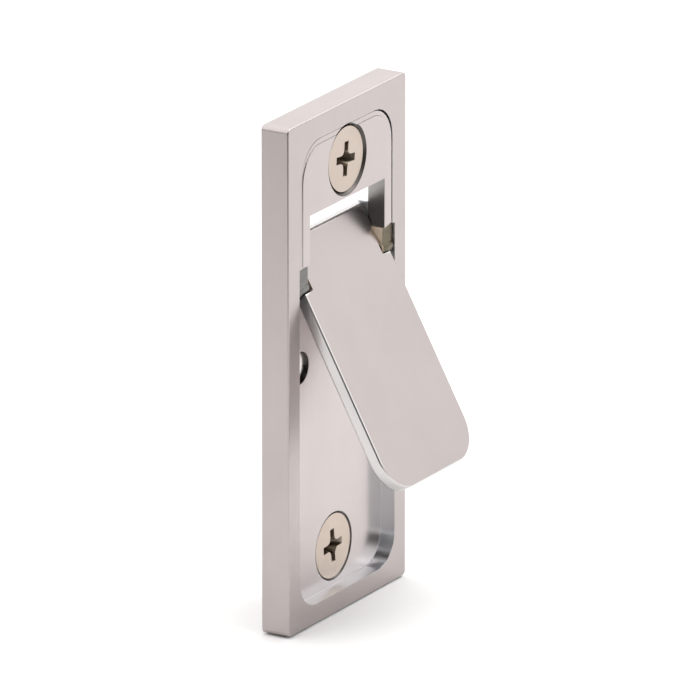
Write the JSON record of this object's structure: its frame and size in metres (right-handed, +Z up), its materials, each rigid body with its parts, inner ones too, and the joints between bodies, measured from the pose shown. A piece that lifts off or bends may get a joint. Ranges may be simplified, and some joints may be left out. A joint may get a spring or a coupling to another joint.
{
  "type": "toggle bolt latch",
  "caption": "Flush rectangular latch plate with a pocketed lever that tips about a pin when its tongue is pushed through the window.",
  "frame": {"origin": "centre of the plate's flat back face", "axes": "+X to the right seen from the front, +Y backwards into the door, +Z up along the plate's long edge"},
  "size_m": [0.0276, 0.0241, 0.064],
  "materials": {
    "plate_chrome": "satin",
    "retainer_chrome": "satin",
    "lever_chrome": "satin",
    "pin_steel": "smooth, ground",
    "screw_nickel": "nickel plated",
    "magnet_nickel": "nickel plated"
  },
  "bodies": {
    "plate": {"body_plate": "plate_chrome", "hinge_retainer": "retainer_chrome", "pivot_pin": "pin_steel", "upper_screw": "screw_nickel", "lower_screw": "screw_nickel", "keeper_magnet_left": "magnet_nickel", "keeper_magnet_right": "magnet_nickel"},
    "lever": {"lever": "lever_chrome"}
  },
  "joints": [
    {"name": "lever_swing", "type": "hinge", "parent": "plate", "child": "lever", "pos_m": [0, -0.00275, 0.01075], "axis": [-1, 0, 0], "range_deg": [-28.3, 1.7]}
  ]
}
